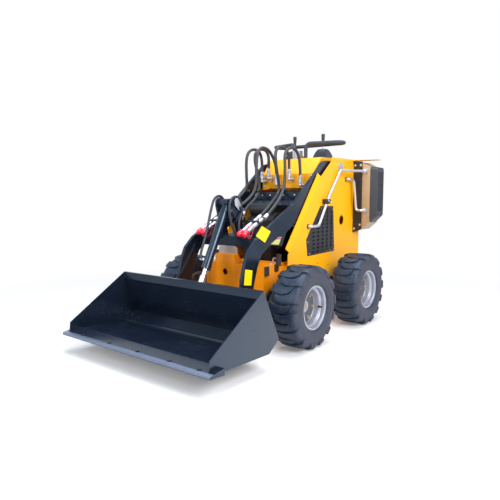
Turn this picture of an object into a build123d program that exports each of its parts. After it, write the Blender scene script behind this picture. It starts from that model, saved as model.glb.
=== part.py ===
from build123d import *
import os
from math import cos, hypot, radians, sin

# Mini loader, all lengths in mm
# x runs across with the machine's left side at +x, the bucket looks along -y, z is up
# y is counted from a datum close to the front axle and Y_SHIFT centres the whole at the end
Y_SHIFT = 92.5

# Running gear
FRONT_AXLE = -15.0
REAR_AXLE = 745.0
TYRE_R = 255.0
TYRE_W = 198.0
WHEEL_X = 477.0
RIM_HALF = 83.0
BEAD_R = 128.0
LUGS = 14
HUB_GAP = 0.5
BEAD_FIT = 0.4

# Lower frame
TUB_X = 240.0
TUB_WALL = 6.0
TUB_Z0 = 140.0
TUB_Z1 = 492.0
TUB_FRONT = -100.0
BODY_REAR = 1150.0
NOSE_Y = -190.0
NOSE_RISE = 70.0
NOSE_Z = TUB_Z1 + NOSE_RISE
NOSE_HALF = 75.0
NOSE_HOLE_R = 21.0

# Lifting eyes on the deck
EYE_X = 222.0
EYE_Y = 53.0
EYE_RISE = 19.0
EYE_R = 11.0
EYE_T = 10.0

# Body work
PANEL_X = 290.0
PANEL_Z0 = 335.0
SHEET = 4.0
FOLD_W = 40.0
FOLD_TURN = 15.0
GRILLE_T = 3.0
TOWER_X = 222.0
TOWER_Y = 537.0
DECK_Y = 650.0
DECK_Z = 1207.0
CONSOLE_DROP = 119.0
FACE_H = 103.0
TOWER_BEND = DECK_Z - CONSOLE_DROP
TOWER_Z0 = TOWER_BEND - FACE_H
PANEL_Z1 = DECK_Z - 3.0
INNER_X = 178.0

# Handlebar and joysticks
BAR_RISE = 115.0
BAR_R = 14.0
POST_X = 50.0
POST_Y = 716.0
GRIP_X = 290.0
GRIP_FRONT = 800.0
GRIP_REAR = 900.0
STICK_X = 126.0
STICK_Y = 844.0
BOOT_H = 78.0

# Lift arms
ARM_IN = 248.0
ARM_T = 22.0
ARM_OUT = ARM_IN + ARM_T
PIVOT_Y = 807.0
PIVOT_DROP = 68.0
PIVOT = (PIVOT_Y, DECK_Z - PIVOT_DROP)
PIVOT_R = 22.0
BOSS_R = 44.0
LIFT_BASE = (960.0, 300.0)
LIFT_EYE = (250.0, 760.0)
LIFT_X = 207.0
LIFT_R = 22.0
LIFT_ROD_R = 12.5
LIFT_PIN_R = 12.0
LIFT_BARREL = 730.0
LIFT_ROD = 760.0
EYE_HALF = 17.0
PAD_X = 276.0

# Bucket and tilt
BUCKET_PIN = (-335.0, 215.0)
TILT_TOP = (-160.0, 885.0)
TILT_EYE = (-445.0, 350.0)
TILT_R = 28.0
TILT_ROD_R = 15.0
TILT_PIN_R = 12.5
TILT_BARREL = 454.0
TILT_ROD = 480.0
TILT_HALF = 22.0
EAR_X = 60.0
EAR_T = 12.0
PIN_R = 15.0
HITCH_T = 13.0
BUCKET_X = 565.0
BUCKET_T = 5.0
LIP_H = 43.0
LIP_T = 8.0
EDGE_X = 595.0
FIT = 0.4

# Oil cooler on the left
COOLER_Y = 1041.0
COOLER_DEEP = 150.0
CORE_IN = 362.0
CORE_OUT = 424.0
SHROUD_OUT = 476.0

# Hoses and couplers
HOSE_R = 8.0
PORT_Y = 492.0
COUPLER_X = (150.0, 190.0)
COUPLER_START = (-240.0, 690.0)
COUPLER_TURN = 25.0


def flat(points):
    return make_face(Polyline(*points, close=True))


def soft(points, radius):
    return make_face(FilletPolyline(*points, radius=radius, close=True))


def slab_x(face, x0, x1):
    # a face drawn in (y, z), thick from x0 to x1
    lo, hi = min(x0, x1), max(x0, x1)
    return extrude(Plane.YZ.offset(lo) * face, amount=hi - lo)


def slab_y(face, y0, y1):
    # a face drawn in (x, z), thick from y0 to y1
    base = Plane(origin=(0, y1, 0), x_dir=(1, 0, 0), z_dir=(0, -1, 0))
    return extrude(base * face, amount=y1 - y0)


def slab_z(face, z0, z1):
    return extrude(Plane.XY.offset(z0) * face, amount=z1 - z0)


def block(x0, x1, y0, y1, z0, z1):
    size = (abs(x1 - x0), abs(y1 - y0), abs(z1 - z0))
    return Pos((x0 + x1) / 2, (y0 + y1) / 2, (z0 + z1) / 2) * Box(*size)


def pin_x(centre, radius, x0, x1):
    # a round bar along x at (y, z)
    lo, hi = min(x0, x1), max(x0, x1)
    place = Plane(origin=(lo, centre[0], centre[1]), x_dir=(0, 1, 0), z_dir=(1, 0, 0))
    return extrude(place * Circle(radius), amount=hi - lo)


def bar(start, end, radius):
    run = Vector(*end) - Vector(*start)
    return extrude(Plane(origin=start, z_dir=run) * Circle(radius), amount=run.length)


def tube(points, radii, radius):
    path = FilletPolyline(*points, radius=radii)
    return sweep(Plane(origin=path @ 0, z_dir=path % 0) * Circle(radius), path=path)


def ring_x(rows):
    # a turned part about x, rows are (distance outboard, radius)
    return revolve(make_face(Polyline(*[(u, r, 0) for u, r in rows], close=True)), Axis.X)


def along(start, end, dist):
    # a point at dist on the way from start to end
    dy, dz = end[0] - start[0], end[1] - start[1]
    size = hypot(dy, dz)
    return (start[0] + dy / size * dist, start[1] + dz / size * dist)


def turned(start, degrees_up, dist, off=0.0):
    # a point at dist along a line that rises rearward from start, and off above that line
    turn = radians(degrees_up)
    return (start[0] + cos(turn) * dist - sin(turn) * off,
            start[1] + sin(turn) * dist + cos(turn) * off)


def join(shapes):
    whole = shapes[0]
    for shape in shapes[1:]:
        whole = whole + shape
    return whole


parts = {}
SIDES = (("left", 1), ("right", -1))


# Lower frame, an open tub with a deck in front and a nose box
def chassis_frame():
    rear = BODY_REAR - SHEET
    tub = block(-TUB_X, TUB_X, TUB_FRONT, rear, TUB_Z0, TUB_Z1)
    tub -= block(-TUB_X + TUB_WALL, TUB_X - TUB_WALL, TUB_FRONT + TUB_WALL, BODY_REAR + 10,
                 TUB_Z0 + TUB_WALL, TUB_Z1 + 10)
    tub += block(-TUB_X, TUB_X, TUB_FRONT, 120, TUB_Z1 - TUB_WALL, TUB_Z1)
    skin = [(NOSE_Y, 150), (NOSE_Y, NOSE_Z), (-152, NOSE_Z), (-98, TUB_Z1 + 13), (-98, 150)]
    room = [(NOSE_Y + TUB_WALL, 156), (NOSE_Y + TUB_WALL, NOSE_Z - 22), (-110, TUB_Z1 - 12), (-110, 156)]
    tub += slab_x(flat(skin), -NOSE_HALF, NOSE_HALF)
    tub -= slab_x(flat(room), -NOSE_HALF + TUB_WALL, NOSE_HALF - TUB_WALL)
    for name, s in SIDES:
        wing = [(s * NOSE_HALF, NOSE_Y), (s * NOSE_HALF, TUB_FRONT + 1), (s * 130, TUB_FRONT + 1)]
        tub += slab_z(flat(wing), 150, TUB_Z1 + 8)
        foot_y, foot_z = LIFT_BASE
        lug = [(foot_y - 40, TUB_Z0 + 4), (foot_y + 40, TUB_Z0 + 4), (foot_y + 26, foot_z + 20),
               (foot_y - 26, foot_z + 20)]
        tub += slab_x(flat(lug), s * (INNER_X - 8), s * INNER_X)
        tub += pin_x(LIFT_BASE, LIFT_PIN_R, s * (INNER_X - 8), s * (TUB_X - 2))
    hole = Pos(0, NOSE_Z - 115) * Circle(NOSE_HOLE_R)
    return tub - slab_y(hole, NOSE_Y - 5, NOSE_Y + TUB_WALL + 4)


parts["chassis_frame"] = chassis_frame()


# Side panels with a folded front band, a lower box flange and cooler openings
FOLD_LOW = (118.0, 561.0)
FOLD_HIGH = (525.0, 1060.0)
FOLD_TOP = (DECK_Y + 40, PANEL_Z1)
GRILLE_EDGE = [(519, 855), (707, 851), (730, 520), (344, 514), (327, 630)]
GRILLE_OPEN = [(516, 842), (694, 838), (716, 532), (356, 526), (341, 628)]
HAND_HOLE = (845.0, 743.0)
PIPE_HOLES = ((350.0, 718.0), (905.0, 1050.0))


def side_panel(s):
    rear = BODY_REAR - SHEET
    inside, outside = s * (PANEL_X - SHEET), s * PANEL_X
    edge = [(102, PANEL_Z0), (102, 545), FOLD_LOW, FOLD_HIGH, (DECK_Y + 28, DECK_Z - 33), FOLD_TOP,
            (rear, PANEL_Z1), (rear, PANEL_Z0)]
    skin = slab_x(flat(edge), inside, outside)
    # the folded band along the sloping front edge
    run = Vector(0, FOLD_HIGH[0] - FOLD_LOW[0], FOLD_HIGH[1] - FOLD_LOW[1])
    turn = radians(FOLD_TURN)
    forward = Vector(0, -run.Z, run.Y).normalized()
    out = Vector(s, 0, 0)
    width = forward * cos(turn) - out * sin(turn)
    normal = out * cos(turn) + forward * sin(turn)
    corner = Vector(outside, *FOLD_LOW)
    band = Polyline(corner, corner + width * FOLD_W, corner + width * FOLD_W - normal * SHEET,
                    corner - normal * SHEET - width, close=True)
    skin += extrude(make_face(band), amount=run.length, dir=run.normalized())
    skin += block(s * TUB_X, outside, 106, rear, PANEL_Z0, PANEL_Z0 + SHEET)
    skin += block(s * TUB_X, outside, 102, 106, PANEL_Z0, 470)
    skin += block(s * TUB_X, outside, 106, rear, 466, 470)
    skin += block(s * (PANEL_X - 14), outside, DECK_Y + 40, rear, PANEL_Z1 - SHEET, PANEL_Z1)
    skin += block(s * TOWER_X, outside, 900, rear, PANEL_Z1 - SHEET, PANEL_Z1)
    skin -= slab_x(flat(GRILLE_OPEN), s * (PANEL_X - 8), s * (PANEL_X + 8))
    skin -= pin_x(HAND_HOLE, 36, s * (PANEL_X - 8), s * (PANEL_X + 8))
    skin -= pin_x(PIVOT, PIVOT_R + FIT, s * (PANEL_X - 8), s * (PANEL_X + 8))
    if s > 0:
        for hole in PIPE_HOLES:
            skin -= pin_x(hole, 15, PANEL_X - 8, PANEL_X + 8)
        hood = [(PANEL_X - 4, 1000), (PANEL_X - 4, rear), (470, rear), (470, 1060)]
        skin += slab_z(flat(hood), PANEL_Z1 - 8, PANEL_Z1 - 4)
    return skin


for name, s in SIDES:
    parts["side_panel_" + name] = side_panel(s)

# Grilles, plates with columns and rows of slots over the panel openings
SLOT_W = 34.0
SLOT_H = 14.0
SLOT_PITCH_Y = 64.0
SLOT_PITCH_Z = 27.0
SLOT_COLUMNS = 5
SLOT_ROWS = 12


def slot_places():
    # slots stay behind the grille's sloping front edge
    low, high = GRILLE_EDGE[4], GRILLE_EDGE[0]
    for column in range(SLOT_COLUMNS):
        y = 676 - column * SLOT_PITCH_Y
        for row in range(SLOT_ROWS):
            z = 536 + row * SLOT_PITCH_Z
            front = low[0] + (z + SLOT_H - low[1]) * (high[0] - low[0]) / (high[1] - low[1])
            if y - SLOT_W / 2 > max(front, low[0] + 8) + 16:
                yield y, z


def grille(s):
    plate = slab_x(soft(GRILLE_EDGE, 8), s * PANEL_X, s * (PANEL_X + GRILLE_T))
    middle = s * (PANEL_X + GRILLE_T / 2)
    slots = [Pos(middle, y, z) * Box(3 * GRILLE_T, SLOT_W, SLOT_H) for y, z in slot_places()]
    return plate - slots


parts["grilles"] = grille(1) + grille(-1)


# Tower with a sloping console, walls inside the arms and a bulkhead
def tower_console():
    rear = BODY_REAR - SHEET
    skin = [(TOWER_Y, TOWER_Z0), (TOWER_Y, TOWER_BEND), (DECK_Y, DECK_Z), (rear, DECK_Z), (rear, TOWER_Z0)]
    room = [(TOWER_Y + 4, TOWER_Z0 - 10), (TOWER_Y + 4, TOWER_BEND - 2), (DECK_Y + 2, DECK_Z - 4),
            (BODY_REAR + 10, DECK_Z - 4), (BODY_REAR + 10, TOWER_Z0 - 10)]
    tower = slab_x(flat(skin), -TOWER_X, TOWER_X) - slab_x(flat(room), -TOWER_X + 6, TOWER_X - 6)
    for name, s in SIDES:
        tower += block(s * (INNER_X - 6), s * TOWER_X, TOWER_Y, rear, TOWER_Z0 - 6, TOWER_Z0)
        tower += block(s * (INNER_X - 6), s * INNER_X, TOWER_Y + 60, rear, 400, TOWER_Z0)
    tower += block(-INNER_X, INNER_X, TOWER_Y + 60, TOWER_Y + 64, 400, TOWER_Z0)
    for name, s in SIDES:
        tower -= pin_x(PIVOT, PIVOT_R + FIT, s * (TOWER_X - 20), s * (TOWER_X + 2))
    return tower


parts["tower_console"] = tower_console()

# Rear panel with rows of air slots
rear_panel = block(-PANEL_X, PANEL_X, BODY_REAR - SHEET, BODY_REAR, PANEL_Z0, PANEL_Z1)
rear_panel += block(-TUB_X, TUB_X, BODY_REAR - SHEET, BODY_REAR, TUB_Z0, PANEL_Z0)
vents = [Pos(x, BODY_REAR - SHEET / 2, 620 + 34 * row) * Box(130, 3 * SHEET, 14)
         for row in range(9) for x in (-80, 80)]
parts["rear_panel"] = rear_panel - vents

# Engine with finned heads, an air cleaner and a silencer, seen between the arms
FIN_STEP = 15.0
FINS = 8


def engine():
    case = slab_x(soft([(150, 260), (150, 600), (210, 640), (460, 640), (520, 600), (520, 260)], 30), -120, 120)
    case += slab_x(soft([(190, 630), (190, 770), (225, 800), (465, 800), (500, 770), (500, 630)], 24), -110, 110)
    for name, s in SIDES:
        head = block(s * 100, s * 150, 200, 330, 560, 760)
        fins = [block(s * 104, s * 168, 184, 346, 575 + i * 2 * FIN_STEP, 575 + i * 2 * FIN_STEP + 6)
                for i in range(FINS - 2)]
        case += [head, *fins]
        case += block(s * 100, s * 170, 220, 460, TUB_Z0 + TUB_WALL, 300)
    case += pin_x((240, 835), 44, -96, 60)
    screen = Pos(0, 345, 796) * Cylinder(88, 14, align=(Align.CENTER, Align.CENTER, Align.MIN))
    return case + screen


parts["engine"] = engine()

guard = [(-NOSE_HALF, NOSE_Z), (-NOSE_HALF, NOSE_Z + 44), (-NOSE_HALF + 8, NOSE_Z + 50),
         (NOSE_HALF - 16, NOSE_Z + 50), (NOSE_HALF, NOSE_Z + 34), (NOSE_HALF, NOSE_Z)]
parts["guard_plate"] = slab_y(flat(guard), -156, -152)

# Oil filter on the deck behind the low cross member
FILTER = (-170.0, 0.0)
FILTER_R = 34.0
stand = (Align.CENTER, Align.CENTER, Align.MIN)
can = Pos(*FILTER, TUB_Z1) * Cylinder(FILTER_R - 4, 12, align=stand)
can += Pos(*FILTER, TUB_Z1 + 12) * Cylinder(FILTER_R, 76, align=stand)
parts["oil_filter"] = can + Pos(*FILTER, TUB_Z1 + 88) * Cylinder(FILTER_R - 9, 8, align=stand)

# Handlebar, two front posts that turn out into grips joined behind the levers
BAR_Z = DECK_Z + BAR_RISE
loop = [(POST_X, POST_Y, DECK_Z), (POST_X, POST_Y, BAR_Z), (GRIP_X, GRIP_FRONT, BAR_Z),
        (GRIP_X, GRIP_REAR, BAR_Z), (-GRIP_X, GRIP_REAR, BAR_Z), (-GRIP_X, GRIP_FRONT, BAR_Z),
        (-POST_X, POST_Y, BAR_Z), (-POST_X, POST_Y, DECK_Z)]
corner = 0.45 * (GRIP_REAR - GRIP_FRONT)
parts["handlebar"] = tube(loop, [38, 0.9 * corner, corner, corner, 0.9 * corner, 38], BAR_R)


# Joysticks on square boots
def joystick(s):
    foot = Plane(origin=(s * STICK_X, STICK_Y, DECK_Z)) * Rectangle(124, 124)
    waist = Plane(origin=(s * STICK_X, STICK_Y, DECK_Z + 0.72 * BOOT_H)) * Rectangle(86, 86)
    cap = Plane(origin=(s * STICK_X, STICK_Y, DECK_Z + BOOT_H)) * Rectangle(52, 52)
    stick = loft([foot, waist], ruled=True) + loft([waist, cap], ruled=True)
    stick += Pos(s * STICK_X, STICK_Y, DECK_Z + BOOT_H - 8) * Cylinder(6, 98, align=stand)
    return stick + Pos(s * STICK_X, STICK_Y, DECK_Z + BOOT_H + 94) * Cylinder(14, 40)


parts["joysticks"] = joystick(1) + joystick(-1)

# Valve on the deck, its slices stacked across
valve = block(-32, 32, 662, 700, DECK_Z, DECK_Z + 44)
valve += [block(x, x + 16, 658, 704, DECK_Z, DECK_Z + 60) for x in (-30, -8, 14)]
parts["valve_block"] = valve

# Hoses, each in its own loop from a port on the tower to the clamps on the arms' plate
# columns: port x, port z, front of the loop, clamp y, clamp z, end point
HOSE_TOP = DECK_Z + 67.0
hose_rows = [
    (-196, 1040, 304, 300, 985, (-190, 0, 790)),
    (-136, 1060, 340, 355, 1000, (-100, 120, 790)),
    (-65, 1015, 280, 240, 985, (-150, -30, 780)),
    (47, 1050, 330, 350, 975, (150, -30, 780)),
    (141, 1005, 290, 285, 985, (190, 0, 790)),
]


def hose(px, pz, fy, cy, cz, end):
    half = 0.49 * (PORT_Y - fy)
    route = [(px, PORT_Y, pz + 30), (px, PORT_Y, HOSE_TOP), (px, fy, HOSE_TOP), (px, cy, cz),
             (0.5 * (px + end[0]), 0.5 * (cy + end[1]), cz - 70), end]
    return tube(route, [half, half, 110, 60], HOSE_R)


def hose_port(px, pz):
    port = bar((px, TOWER_Y, pz), (px, PORT_Y, pz), 11) + bar((px, TOWER_Y, pz), (px, TOWER_Y - 12, pz), 15)
    port += Pos(px, PORT_Y, pz) * Sphere(12)
    return port + bar((px, PORT_Y, pz), (px, PORT_Y, pz + 30), 11)


parts["hoses"] = join([hose(*row) for row in hose_rows])
parts["hose_ports"] = join([hose_port(*row[:2]) for row in hose_rows])


# Oil cooler beside the tower on the left
def frame_face(x, y0, y1, z0, z1, radius):
    plane = Plane(origin=(x, (y0 + y1) / 2, (z0 + z1) / 2), x_dir=(0, 1, 0), z_dir=(1, 0, 0))
    return plane * RectangleRounded(y1 - y0, z1 - z0, radius)


core_high, core_low = DECK_Z - 27.0, 662.0
bracket = [(PANEL_X, 636), (PANEL_X, DECK_Z - 20), (CORE_IN, DECK_Z - 20), (CORE_IN, core_low)]
parts["cooler_bracket"] = slab_y(flat(bracket), COOLER_Y - SHEET, COOLER_Y)
core = [(CORE_IN, core_low), (CORE_IN, core_high), (CORE_OUT, core_high - 35), (CORE_OUT, core_low + 54)]
parts["cooler_core"] = slab_y(flat(core), COOLER_Y, COOLER_Y + COOLER_DEEP - 1)
shroud_base = frame_face(CORE_OUT, COOLER_Y + 2, COOLER_Y + COOLER_DEEP, 718, core_high - 32, 26)
shroud_lid = frame_face(SHROUD_OUT, COOLER_Y + 14, COOLER_Y + COOLER_DEEP - 12, 765, core_high - 42, 26)
shroud = loft([shroud_base, shroud_lid])
for i in range(6):
    shroud -= Pos(SHROUD_OUT, COOLER_Y + 34 + i * 17, 955) * Box(8, 8, 300)
parts["cooler_shroud"] = shroud

low_hole, high_hole = PIPE_HOLES
pipe_in = PANEL_X - 6
pipe_a = tube([(pipe_in, *low_hole), (316, *low_hole), (316, 452, low_hole[1]), (316, 600, 925),
               (316, 770, PIVOT[1] - 27), (384, 985, PIVOT[1] - 27), (384, COOLER_Y, PIVOT[1] - 27)],
              [14, 40, 20, 30, 30], 10)
pipe_b = tube([(pipe_in, *high_hole), (318, *high_hole), (318, 985, high_hole[1] - 4), (335, 1000, 812),
               (384, 1000, 812), (384, COOLER_Y, 812)], [14, 30, 22, 18], 10)
clamp = block(PANEL_X, 330, 548, 588, 872, 900)
parts["cooler_pipes"] = pipe_a + pipe_b + clamp


# Hub motors on the frame
def hub_motor(y, s):
    motor = pin_x((y, TYRE_R), 60, s * TUB_X, s * 430) + pin_x((y, TYRE_R), 78, s * TUB_X, s * (TUB_X + 14))
    return motor + pin_x((y, TYRE_R), 38, s * 430, s * (WHEEL_X + 3 - HUB_GAP))


parts["hub_motors"] = join([hub_motor(y, s) for y in (FRONT_AXLE, REAR_AXLE) for name, s in SIDES])


def lifting_eye(s):
    top = TUB_Z1 + EYE_RISE
    ring = Pos(s * EYE_X, EYE_Y, top) * Rot(90, 0, 0)
    eye = ring * Cylinder(EYE_R + 8, EYE_T)
    eye += block(s * EYE_X - 14, s * EYE_X + 14, EYE_Y - EYE_T / 2, EYE_Y + EYE_T / 2, TUB_Z1, top)
    return eye - ring * Cylinder(EYE_R, 2 * EYE_T)


parts["lifting_eyes"] = lifting_eye(1) + lifting_eye(-1)


# Rubber stops under the arms on angle brackets, and a pad on each side of the tub
def arm_stop(s):
    shelf = TUB_Z1 - 12
    stop = block(s * TUB_X, s * PAD_X, 20, 60, shelf, shelf + 6)
    stop += block(s * TUB_X, s * (TUB_X + 6), 20, 60, shelf - 40, shelf + 6)
    return stop + Pos(s * (PAD_X - 17), 40, shelf + 6) * Cylinder(17, 68, align=stand)


pads = [slab_x(soft([(-94, 425), (-94, 486), (-54, 486), (-54, 425)], 8), s * TUB_X, s * (TUB_X + 12))
        for name, s in SIDES]
parts["arm_stops"] = join([arm_stop(1), arm_stop(-1), *pads])

# Lift arms, the rear rows hang on the pivot
py, pz = PIVOT
# columns: y, z, corner radius
arm_rows = [
    (py, pz + 46, 50), (py - 107, pz + 36, 40), (py - 201, pz + 41, 90), (209, 877, 80), (30, 792, 60),
    (-145, 702, 40), (-215, 665, 30), (-290, 600, 40), (-325, 530, 40), (-348, 455, 40), (-358, 400, 30),
    (-372, 270, 30), (-390, 215, 45), (-335, 160, 45), (-282, 205, 40), (-262, 300, 40), (-243, 383, 40),
    (-208, 490, 40), (-160, 573, 30), (-66, 622, 30), (61, 606, 12), (110, 690, 30), (300, 790, 60),
    (600, 1020, 60), (py - 7, pz - 60, 45), (py + 55, pz, 40),
]
STRIP = [(-170, 656), (-349, 429), (-340, 420), (-161, 647)]


def lift_arm(s):
    edge = soft([row[:2] for row in arm_rows], [row[2] for row in arm_rows])
    arm = slab_x(edge, s * ARM_IN, s * ARM_OUT)
    arm += pin_x(PIVOT, BOSS_R, s * (TOWER_X + 5), s * (PANEL_X - SHEET - 5))
    arm += pin_x(LIFT_EYE, 30, s * (LIFT_X + 21), s * ARM_IN)
    arm += slab_x(flat(STRIP), s * (ARM_IN - 8), s * ARM_IN)
    arm -= pin_x(PIVOT, PIVOT_R + FIT, s * 200, s * 300)
    return arm - pin_x(BUCKET_PIN, PIN_R + FIT, s * 200, s * 300)


for name, s in SIDES:
    parts["lift_arm_" + name] = lift_arm(s)

pins = [pin_x(PIVOT, PIVOT_R, s * (TOWER_X - 8), s * (PANEL_X + 6)) + pin_x(PIVOT, 34, s * PANEL_X, s * (PANEL_X + 10))
        for name, s in SIDES]
parts["pivot_pins"] = join(pins)

# Folded plate between the arms that carries the hose clamps
bent = [(312, 862), (318, 854), (396, 904), (396, 957), (388, 957), (388, 910)]
plate = slab_x(flat(bent), -ARM_IN, ARM_IN)
for x in (-180, 180):
    plate -= Pos(x, 392, 934) * Box(44, 30, 16)
for x in (-196, -136, -65, 47, 141):
    plate += Pos(x, 384, 930) * Box(26, 8, 26)
parts["cross_plate"] = plate

MEMBER_FRONT = (-137.0, 672.0)
MEMBER_REAR = (-80.0, 690.0)


def member_top(y):
    slant = (MEMBER_REAR[1] - MEMBER_FRONT[1]) / (MEMBER_REAR[0] - MEMBER_FRONT[0])
    return (y, MEMBER_FRONT[1] + slant * (y - MEMBER_FRONT[0]))


# Low cross member with two tall ears that hold the tilt cylinder's top pin
def cross_member():
    member = slab_x(flat([(-137, 607), MEMBER_FRONT, MEMBER_REAR, (-80, 625)]), -ARM_IN, ARM_IN)
    top_y, top_z = TILT_TOP
    ear = [(-137, 655), (-80, 672), (top_y + 38, top_z + 15), (top_y + 18, top_z + 35),
           (top_y - 15, top_z + 35), (top_y - 36, top_z + 15), (top_y - 36, top_z - 17)]
    for name, s in SIDES:
        member += slab_x(soft(ear, [2, 2, 20, 12, 12, 20, 20]), s * EAR_X, s * (EAR_X + EAR_T))
        member += pin_x(TILT_TOP, 22, s * (TILT_HALF + 4), s * EAR_X)
    member += pin_x(TILT_TOP, TILT_PIN_R, -EAR_X - EAR_T - 8, EAR_X + EAR_T + 8)
    # the pin's flag plate on the left ear
    flag = [(top_y - 20, top_z - 16), (top_y - 14, top_z + 18), (top_y + 22, top_z + 24), (top_y + 30, top_z + 4)]
    return member + slab_x(soft(flag, [10, 12, 8, 8]), EAR_X + EAR_T, EAR_X + EAR_T + 5)


parts["cross_member"] = cross_member()

# Quick couplers in two pairs along the arms' slope, held in drilled plates
# columns: start, end and radius along the coupler's line
coupler_rows = [(45, 92, 13), (92, 104, 17), (104, 150, 15), (150, 184, 11), (184, 202, 13.5), (202, 215, 11)]
cap_rows = [(0, 8, 13), (8, 38, 18), (38, 45, 19.5)]
PLATE_AT = 150.0
PLATE_T = 6.0


def coupler_point(x, dist):
    return (x, *turned(COUPLER_START, COUPLER_TURN, dist))


def stepped(rows, x):
    return join([bar(coupler_point(x, a), coupler_point(x, b), r) for a, b, r in rows])


def coupler_bracket(s):
    near, far = PLATE_AT, PLATE_AT + PLATE_T
    post = [turned(COUPLER_START, COUPLER_TURN, d, n) for d, n in ((near, -30), (near, 22), (far, 22), (far, -30))]
    plate = slab_x(flat(post + [member_top(-84), member_top(-91)]), s * 128, s * 212)
    for x in COUPLER_X:
        plate -= bar(coupler_point(s * x, 0), coupler_point(s * x, 240), 11)
    return plate


coupler_places = [s * x for name, s in SIDES for x in COUPLER_X]
parts["couplers"] = join([stepped(coupler_rows, x) for x in coupler_places])
parts["coupler_caps"] = join([stepped(cap_rows, x) for x in coupler_places])
parts["coupler_brackets"] = coupler_bracket(1) + coupler_bracket(-1)

# Lift cylinders from the tub's lugs to the arms, each rod with its own eye
lift_reach = hypot(LIFT_EYE[0] - LIFT_BASE[0], LIFT_EYE[1] - LIFT_BASE[1])


def lift_point(s, dist):
    return (s * LIFT_X, *along(LIFT_BASE, LIFT_EYE, dist))


def lift_barrel(s):
    barrel = bar(lift_point(s, 24), lift_point(s, LIFT_BARREL), LIFT_R)
    barrel += bar(lift_point(s, LIFT_BARREL - 26), lift_point(s, LIFT_BARREL), LIFT_R + 3)
    barrel -= bar(lift_point(s, 38), lift_point(s, LIFT_BARREL + 5), LIFT_ROD_R + FIT)
    barrel += pin_x(LIFT_BASE, 26, s * (LIFT_X - EYE_HALF), s * (LIFT_X + EYE_HALF))
    return barrel - pin_x(LIFT_BASE, LIFT_PIN_R + FIT, s * (LIFT_X - 30), s * (LIFT_X + 30))


def lift_rod(s):
    rod = bar(lift_point(s, lift_reach - LIFT_ROD), lift_point(s, lift_reach - 20), LIFT_ROD_R)
    rod += pin_x(LIFT_EYE, 24, s * (LIFT_X - EYE_HALF), s * (LIFT_X + EYE_HALF))
    return rod + pin_x(LIFT_EYE, LIFT_PIN_R, s * (LIFT_X - EYE_HALF - 4), s * (LIFT_X + EYE_HALF + 3))


for name, s in SIDES:
    parts["lift_barrel_" + name] = lift_barrel(s)
    parts["lift_rod_" + name] = lift_rod(s)

# Tilt cylinder in the middle, hung from the ears and reaching the bucket's hitch
tilt_reach = hypot(TILT_EYE[0] - TILT_TOP[0], TILT_EYE[1] - TILT_TOP[1])


def tilt_point(dist, x=0.0):
    return (x, *along(TILT_TOP, TILT_EYE, dist))


def tilt_barrel():
    barrel = bar(tilt_point(26), tilt_point(TILT_BARREL), TILT_R)
    barrel += bar(tilt_point(TILT_BARREL - 34), tilt_point(TILT_BARREL), TILT_R + 3)
    barrel -= bar(tilt_point(40), tilt_point(TILT_BARREL + 5), TILT_ROD_R + FIT)
    barrel += pin_x(TILT_TOP, 28, -TILT_HALF, TILT_HALF)
    barrel -= pin_x(TILT_TOP, TILT_PIN_R + FIT, -40, 40)
    # ports on the right side, the upper one near the pin and the lower one near the gland
    for dist in (70, TILT_BARREL - 60):
        barrel += bar(tilt_point(dist, -TILT_R + 5), tilt_point(dist, -TILT_R - 12), 10)
    return barrel


def tilt_rod():
    rod = bar(tilt_point(tilt_reach - TILT_ROD), tilt_point(tilt_reach - 22), TILT_ROD_R)
    rod += bar(tilt_point(tilt_reach - 105), tilt_point(tilt_reach - 22), 20)
    rod += pin_x(TILT_EYE, 27, -TILT_HALF + 2, TILT_HALF - 2)
    return rod + pin_x(TILT_EYE, TILT_PIN_R, -TILT_HALF - 1.5, TILT_HALF + 1.5)


parts["tilt_barrel"] = tilt_barrel()
parts["tilt_rod"] = tilt_rod()

# Bucket, open to the front and the top
BACK_TOP = (-547.0, 394.0)
BACK_LOW = (-453.0, 158.0)
LIP_Z = 441.0


def back(share, off):
    # a point down the bucket's back by a share of its height, and off to the rear
    dy, dz = BACK_LOW[0] - BACK_TOP[0], BACK_LOW[1] - BACK_TOP[1]
    size = hypot(dy, dz)
    return (BACK_TOP[0] + dy * share - dz / size * off, BACK_TOP[1] + dz * share + dy / size * off)


def bucket_shell():
    inner = [(-985, 124), (-522, 118), (-460, 160), (-553, 394), (-550, 440)]
    outer = [(-544, LIP_Z), BACK_TOP, BACK_LOW, (-519, 112), (-985, 118)]
    side = [(-552, LIP_Z), (-412, 156), (-504, 95), (-980, 108), (-972, 183)]
    wide = BUCKET_X - BUCKET_T
    shell = slab_x(flat(inner + outer), -wide, wide)
    lip = [(-550, LIP_Z), (-553, LIP_Z - LIP_H), (-553 - LIP_T, LIP_Z - LIP_H), (-550 - LIP_T, LIP_Z)]
    shell += slab_x(flat(lip), -wide, wide)
    strip = [(-560, 118), (-556, 128), (-540, 124), (-530, 118)]
    shell += slab_x(flat(strip), -wide, wide)
    for name, s in SIDES:
        shell += slab_x(flat(side), s * wide, s * BUCKET_X)
    edge = [(-1007, 110), (-1003, 124), (-905, 138), (-905, 104)]
    return shell + slab_x(flat(edge), -EDGE_X, EDGE_X)


parts["bucket_shell"] = bucket_shell()


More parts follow.
